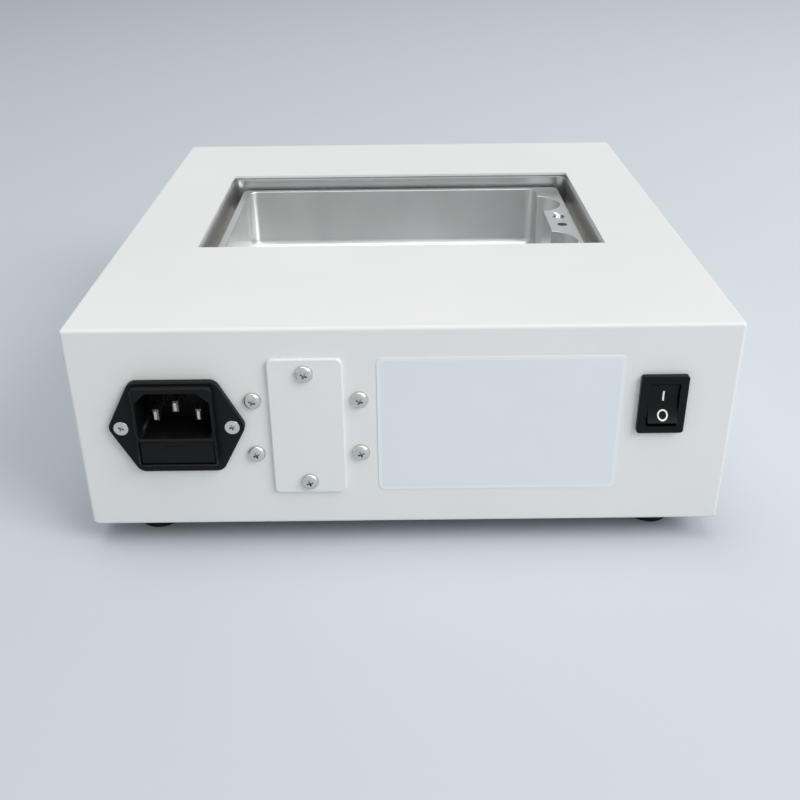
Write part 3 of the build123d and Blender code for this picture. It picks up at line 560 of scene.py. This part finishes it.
def settle(name, mesh, finish, node, replaced=True):
    """Makes a mesh a piece that stands for a CAD node, or rides beside it."""
    mesh.materials.clear()
    mesh.materials.append(finish.material)
    piece = bpy.data.objects.new(name, mesh)
    bpy.context.scene.collection.objects.link(piece)
    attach(piece, body_of_node[node])
    if replaced:
        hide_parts(node)
    return piece


def merged(node):
    """A bmesh copy of a CAD node with its loose triangles joined."""
    bm = bmesh.new()
    bm.from_mesh(nodes[node].data)
    bmesh.ops.remove_doubles(bm, verts=bm.verts, dist=0.0005 * MM)
    return bm


def into_mesh(bm, name):
    mesh = bpy.data.meshes.new(name)
    bm.to_mesh(mesh)
    bm.free()
    return mesh


def soften(mesh, angle):
    """Smooth shading that keeps edges sharper than angle, in degrees."""
    mesh.shade_smooth()
    mesh.set_sharp_from_angle(angle=math.radians(angle))


def smooth_copy(node, finish, angle=35.0):
    """Stands for a CAD node with the same form and smooth shading round its bends."""
    bm = merged(node)
    bmesh.ops.dissolve_limit(bm, angle_limit=math.radians(0.5), verts=bm.verts, edges=bm.edges)
    mesh = into_mesh(bm, node + "_smooth")
    soften(mesh, angle)
    piece = settle(node + "_smooth", mesh, finish, node)
    evened = piece.modifiers.new("evened", "WEIGHTED_NORMAL")
    evened.keep_sharp = True
    evened.weight = 100
    return piece


smooth_copy("case_shell", coat)
smooth_copy("well_liner", liner)
smooth_copy("heating_well", well)
smooth_copy("cover_plate", coat)
smooth_copy("inlet_body", inlet_plastic)
smooth_copy("fuse_drawer", inlet_plastic)
smooth_copy("switch_housing", switch_plastic)
smooth_copy("switch_rocker", switch_plastic)
smooth_copy("rubber_feet", rubber)


# Screws

def extent(corners):
    """Lowest and highest corner of a solid's box."""
    low = Vector([min(corner[axis] for corner in corners) for axis in range(3)])
    high = Vector([max(corner[axis] for corner in corners) for axis in range(3)])
    return low, high


def separate_solids(bm):
    """The solids of a merged node, each as a list of its corners, in the order of their places."""
    left = set(bm.verts)
    solids = []
    while left:
        reached = [left.pop()]
        for vert in reached:
            for edge in vert.link_edges:
                other = edge.other_vert(vert)
                if other in left:
                    left.remove(other)
                    reached.append(other)
        solids.append([vert.co.copy() for vert in reached])
    return sorted(solids, key=lambda corners: tuple(extent(corners)[0]))


def turned(profile, steps=36):
    """A closed solid spun about Z from (radius, height) points."""
    bm = bmesh.new()
    verts = [bm.verts.new((radius, 0, height)) for radius, height in profile]
    edges = [bm.edges.new(pair) for pair in zip(verts, verts[1:])]
    bmesh.ops.spin(
        bm, geom=verts + edges, cent=(0, 0, 0), axis=(0, 0, 1), angle=math.tau, steps=steps, use_merge=True
    )
    bmesh.ops.remove_doubles(bm, verts=bm.verts, dist=0.001 * MM)
    bmesh.ops.recalc_face_normals(bm, faces=bm.faces)
    return bm


def cross_tool(arm, width, depth):
    """Two crossed wedges that cut a cross recess from z = 0 down."""
    bm = bmesh.new()
    for turn in (0.0, math.pi / 2):
        made = bmesh.ops.create_cube(bm, size=1.0)["verts"]
        bmesh.ops.scale(bm, vec=(2 * arm, width, 2 * depth), verts=made)
        tips = [vert for vert in made if vert.co.z < 0]
        bmesh.ops.scale(bm, vec=(0.45, 0.7, 1.0), verts=tips)
        bmesh.ops.rotate(bm, cent=(0, 0, 0), matrix=Matrix.Rotation(turn, 3, "Z"), verts=made)
    return bm


def carved(bm, tools, name):
    """A solid with the tools' forms cut out of it."""
    body = bpy.data.objects.new(name, into_mesh(bm, name))
    cutters = bpy.data.objects.new(name + "_tools", into_mesh(tools, name + "_tools"))
    for item in (body, cutters):
        bpy.context.scene.collection.objects.link(item)
    cut = body.modifiers.new("cut", "BOOLEAN")
    cut.operation = "DIFFERENCE"
    cut.solver = "EXACT"
    cut.use_self = True
    cut.object = cutters
    bpy.context.view_layer.update()
    view = bpy.context.evaluated_depsgraph_get()
    mesh = bpy.data.meshes.new_from_object(body.evaluated_get(view))
    for item in (body, cutters):
        bpy.data.objects.remove(item)
    return mesh


def screw_profile(radius, head_height, shank, length):
    """Outline of a screw from the top of its head: domed, or flat and countersunk if it has no height."""
    if head_height < 0.1 * MM:
        return [
            (0, -0.05 * MM), (0.84 * radius, -0.05 * MM), (0.88 * radius, 0), (0.97 * radius, 0),
            (radius, -0.06 * MM), (shank, shank - radius - 0.06 * MM), (shank, -length), (0, -length),
        ]
    rim = 0.3 * head_height
    crown = head_height - rim
    turns = [math.radians(angle) for angle in range(90, -1, -10)]
    dome = [(radius * math.cos(turn), crown * (math.sin(turn) - 1)) for turn in turns]
    dome[0] = (0, 0)
    return dome + [(radius, -head_height), (shank, -head_height), (shank, -length), (0, -length)]


def make_screws(node, head):
    """Screws with cross recesses in place of a node's plain ones; head points out of their heads."""
    bm = bmesh.new()
    for index, corners in enumerate(separate_solids(merged(node))):
        low, high = extent(corners)
        middle = (low + high) / 2
        along = [(corner - middle).dot(head) for corner in corners]
        out = [((corner - middle) - head * (corner - middle).dot(head)).length for corner in corners]
        top, radius = max(along), max(out)
        seat = min(level for level, reach in zip(along, out) if reach > 0.95 * radius)
        tip = min(along)
        shank = max(reach for level, reach in zip(along, out) if level < tip + 0.1 * MM)
        body = turned(screw_profile(radius, top - seat, shank, top - tip))
        recess = cross_tool(RECESS_ARM * radius, RECESS_WIDTH * radius, RECESS_DEPTH * radius)
        mesh = carved(body, recess, f"{node}_{index}")
        aim = head.to_track_quat("Z", "Y").to_matrix().to_4x4()
        turn = Matrix.Rotation(math.radians(FIRST_TURN + NEXT_TURN * index), 4, "Z")
        mesh.transform(Matrix.Translation(middle + head * top) @ aim @ turn)
        bm.from_mesh(mesh)
        bpy.data.meshes.remove(mesh)
    mesh = into_mesh(bm, node + "_cross")
    soften(mesh, 32.0)
    return settle(node + "_cross", mesh, plated, node)


heads_of_screws = {
    "panel_screws": REARWARD,
    "cover_screws": REARWARD,
    "inlet_screws": REARWARD,
    "case_screws": UNDERSIDE,
    "liner_screws": UNDERSIDE,
    "foot_screws": UNDERSIDE,
    "post_screws": UNDERSIDE,
    "transformer_screws": UNDERSIDE,
    "heater_screws": UNDERSIDE,
    "board_screws": INTO_CASE,
}
for screws, head in heads_of_screws.items():
    make_screws(screws, head)


# Rocker marks, display digits and key signs

def laid_on(bm, node, along, proud):
    """Lays a flat drawing on a node's surface, looking along a direction."""
    surface = BVHTree.FromBMesh(merged(node))
    for vert in bm.verts:
        hit = surface.ray_cast(vert.co - along * RAY_RUN_UP, along)[0]
        vert.co = hit - along * proud


def ring(bm, outer, stroke, steps=40):
    """A flat ring round the origin, drawn in an empty bmesh."""
    for radius in (outer, outer - stroke):
        bmesh.ops.create_circle(bm, segments=steps, radius=radius)
    bmesh.ops.bridge_loops(bm, edges=bm.edges)


def make_rocker_marks():
    """Off and on signs, printed on the dished face."""
    hinge = Vector(joint_of_name["rocker_tilt"]["pos_m"])
    bm = bmesh.new()
    ring(bm, OFF_SIGN_RADIUS, OFF_SIGN_STROKE)
    circle = list(bm.verts)
    bmesh.ops.translate(bm, vec=(0, -OFF_SIGN_DROP, 0), verts=circle)
    made = bmesh.ops.create_grid(bm, x_segments=2, y_segments=10, size=0.5)["verts"]
    bmesh.ops.scale(bm, vec=(*ON_SIGN_SIZE, 1), verts=made)
    bmesh.ops.translate(bm, vec=(0, ON_SIGN_RISE, 0), verts=made)
    upright = Matrix.Rotation(math.pi / 2, 4, "X")
    stand = Matrix.Translation(hinge + REARWARD * ROCKER_VIEW_GAP) @ upright
    bmesh.ops.transform(bm, matrix=stand, verts=bm.verts)
    laid_on(bm, "switch_rocker", INTO_CASE, INK_PROUD)
    bmesh.ops.recalc_face_normals(bm, faces=bm.faces)
    for face in bm.faces:
        if face.normal.y < 0:
            face.normal_flip()
    settle("rocker_marks", into_mesh(bm, "rocker_marks"), ink, "switch_rocker", False)


make_rocker_marks()


def top_level(node):
    """Height of a node's outer face over the overlay's middle, out of the sloping panel."""
    return max((slope.inverted() @ vert.co).z for vert in nodes[node].data.vertices)


def centre_of(node):
    """Middle of a node's box, measured in the sloping panel's frame."""
    low, high = (Vector(corner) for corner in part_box(node))
    return slope.inverted() @ ((low + high) / 2)


def segment(bm, length, width, place):
    """A pointed bar along x."""
    made = bmesh.ops.create_circle(bm, cap_ends=True, segments=6, radius=1.0)["verts"]
    for vert in made:
        tip = abs(vert.co.y) < 0.1
        side = math.copysign(length / 2 - (0 if tip else width / 2), vert.co.x)
        vert.co = Vector((side, 0 if tip else math.copysign(width / 2, vert.co.y), 0))
    bmesh.ops.transform(bm, matrix=place, verts=made)


SEGMENT_PLACES = {
    "top": (0, 1, 0), "middle": (0, 0, 0), "bottom": (0, -1, 0),
    "upper_left": (-1, 0.5, 90), "upper_right": (1, 0.5, 90),
    "lower_left": (-1, -0.5, 90), "lower_right": (1, -0.5, 90),
}
LIT_SEGMENTS = {
    " ": "", "3": "top upper_right middle lower_right bottom", "7": "top upper_right lower_right",
    "0": "top upper_left upper_right lower_left lower_right bottom",
}


def make_digits(reading, point_after):
    """Seven-segment figures on the display module: lit bars and unlit ones."""
    lit, dark = bmesh.new(), bmesh.new()
    for index, figure in enumerate(reading):
        start = (index - (len(reading) - 1) / 2) * FIGURE_PITCH
        for name, (x, y, turn) in SEGMENT_PLACES.items():
            bm = lit if name in LIT_SEGMENTS[figure].split() else dark
            length = (FIGURE_HEIGHT / 2 if turn else FIGURE_WIDTH) - BAR_GAP
            spot = Matrix.Translation((start + x * FIGURE_WIDTH / 2, y * FIGURE_HEIGHT / 2, 0))
            segment(bm, length, BAR_WIDTH, spot @ Matrix.Rotation(math.radians(turn), 4, "Z"))
    dot = bmesh.ops.create_circle(lit, cap_ends=True, segments=12, radius=POINT_RADIUS)["verts"]
    dot_x = (point_after - (len(reading) - 1) / 2 + 0.5) * FIGURE_PITCH
    bmesh.ops.translate(lit, vec=(dot_x, -FIGURE_HEIGHT / 2, 0), verts=dot)
    middle = centre_of("display_module")
    level = Matrix.Translation((middle.x, middle.y, top_level("display_module") + FIGURE_PROUD))
    for name, bm, finish in (("digits_lit", lit, segment_lit), ("digits_dark", dark, segment_dark)):
        bmesh.ops.transform(bm, matrix=slope @ level, verts=bm.verts)
        settle(name, into_mesh(bm, name), finish, "display_module", False)


make_digits(" 370", 2)


def make_key_sign(node, corners, turn, open_ring=False):
    """A plain sign printed on a key: a ring, a triangle or a square."""
    bm = bmesh.new()
    if open_ring:
        ring(bm, KEY_RING_RADIUS, KEY_RING_STROKE)
    else:
        bmesh.ops.create_circle(bm, cap_ends=True, segments=corners, radius=KEY_SIGN_RADIUS)
    level = Matrix.Translation((centre_of(node).x, 0, top_level(node) + INK_PROUD))
    turned_sign = Matrix.Rotation(math.radians(turn), 4, "Z")
    bmesh.ops.transform(bm, matrix=slope @ level @ turned_sign, verts=bm.verts)
    for face in bm.faces:
        face.normal_update()
        if face.normal.z < 0:
            face.normal_flip()
    settle(node + "_sign", into_mesh(bm, node + "_sign"), sign_ink, node, False)


make_key_sign("key_set", 0, 0, open_ring=True)
make_key_sign("key_up", 3, 0)
make_key_sign("key_down", 3, 180)
make_key_sign("key_start", 4, 45)


# Fuses

def make_fuses():
    """Glass tubes with plated caps and the wire inside."""
    tubes, metal = bmesh.new(), bmesh.new()
    for corners in separate_solids(merged("fuses")):
        low, high = extent(corners)
        radius, half = (high.z - low.z) / 2, (high.x - low.x) / 2
        place = Matrix.Translation((low + high) / 2) @ Matrix.Rotation(math.pi / 2, 4, "Y")
        bore = radius - FUSE_TUBE_INSET
        skin = radius - FUSE_CAP_WALL
        ends = half - FUSE_CAP_FLOOR
        tube = [(bore, -ends), (skin, -ends), (skin, ends), (bore, ends), (bore, -ends)]
        wire = [(0, -ends), (FUSE_WIRE_RADIUS, -ends), (FUSE_WIRE_RADIUS, ends), (0, ends)]
        parts = [(tubes, tube), (metal, wire)]
        for side in (-1, 1):
            inner, outer = side * (half - FUSE_CAP_LENGTH), side * half
            shoulder = (radius, outer - side * FUSE_CAP_EDGE)
            cap = [(skin, inner), (radius, inner), shoulder, (radius - FUSE_CAP_EDGE, outer), (0, outer)]
            parts.append((metal, cap))
        for bm, profile in parts:
            mesh = into_mesh(turned(profile, 24), "fuse_part")
            mesh.transform(place)
            bm.from_mesh(mesh)
            bpy.data.meshes.remove(mesh)
    pieces = (("fuse_tubes", tubes, glass, True), ("fuse_caps", metal, plated, False))
    for name, bm, finish, replaced in pieces:
        mesh = into_mesh(bm, name)
        soften(mesh, 35.0)
        settle(name, mesh, finish, "fuses", replaced)


make_fuses()


# Stage, light and camera

def make_floor():
    bm = bmesh.new()
    bmesh.ops.create_grid(bm, x_segments=1, y_segments=1, size=6.0)
    floor = bpy.data.objects.new("floor", into_mesh(bm, "floor"))
    paint = Finish("floor_paint", Roughness=0.7, Specular_IOR_Level=0.2)
    across, depth, _ = paint.axes()
    # Painted light and shade: the floor's colour is lighter towards -X, the key lamp's side, and towards
    # the far end. It is darker towards +X and towards the camera.
    painted_light_ramp = (across * -0.5 - depth * 0.28).ramp(-0.155, 0.77)
    paint.set("Base_Color", paint.mix(painted_light_ramp, shade(200, 207, 213), shade(236, 243, 249)))
    floor.data.materials.append(paint.material)
    bpy.context.scene.collection.objects.link(floor)


def area_light(name, spot, aim, size, power, colour=(1.0, 1.0, 1.0)):
    data = bpy.data.lights.new(name, "AREA")
    data.shape = "RECTANGLE"
    data.size, data.size_y = size
    data.energy = power
    data.color = colour
    lamp = bpy.data.objects.new(name, data)
    lamp.matrix_world = Matrix.Translation(spot) @ (
        (Vector(aim) - Vector(spot)).to_track_quat("-Z", "Y").to_matrix().to_4x4()
    )
    bpy.context.scene.collection.objects.link(lamp)


def make_world():
    """Even room light, with a paler wall past the floor that metal and glass mirror too."""
    world = bpy.data.worlds.new("studio")
    world.use_nodes = True
    tree = world.node_tree
    room = tree.nodes["Background"]
    room.inputs["Color"].default_value = shade(231, 231, 231)
    room.inputs["Strength"].default_value = 0.5
    wall = tree.nodes.new("ShaderNodeBackground")
    wall.inputs["Color"].default_value = shade(212, 217, 221)
    ray = tree.nodes.new("ShaderNodeLightPath")
    seen = tree.nodes.new("ShaderNodeMath")
    seen.operation = "MAXIMUM"
    choice = tree.nodes.new("ShaderNodeMixShader")
    tree.links.new(ray.outputs["Is Camera Ray"], seen.inputs[0])
    tree.links.new(ray.outputs["Is Glossy Ray"], seen.inputs[1])
    tree.links.new(seen.outputs[0], choice.inputs["Fac"])
    tree.links.new(room.outputs["Background"], choice.inputs[1])
    tree.links.new(wall.outputs["Background"], choice.inputs[2])
    tree.links.new(choice.outputs["Shader"], tree.nodes["World Output"].inputs["Surface"])
    bpy.context.scene.world = world


def make_camera():
    """Behind the block and above it, as the photograph sees it."""
    spot = Vector((0.0007, 0.4197, 0.2066))
    turn, pitch, roll = math.radians(180.08), math.radians(28.05), math.radians(-0.68)
    data = bpy.data.cameras.new("camera")
    data.lens = 44.77
    data.sensor_width = 36.0
    camera = bpy.data.objects.new("camera", data)
    camera.matrix_world = (
        Matrix.Translation(spot)
        @ Matrix.Rotation(turn, 4, "Z")
        @ Matrix.Rotation(math.pi / 2 - pitch, 4, "X")
        @ Matrix.Rotation(roll, 4, "Z")
    )
    bpy.context.scene.collection.objects.link(camera)
    bpy.context.scene.camera = camera


make_floor()
make_world()
make_camera()
area_light("key", (-1.35, 1.1, 1.35), (0, 0, 0.05), (1.2, 1.2), 27.0)
area_light("overhead", (0.1, 0.15, 2.0), (0, 0, 0.05), (1.6, 1.2), 13.0)
bpy.context.scene.view_settings.view_transform = "Standard"
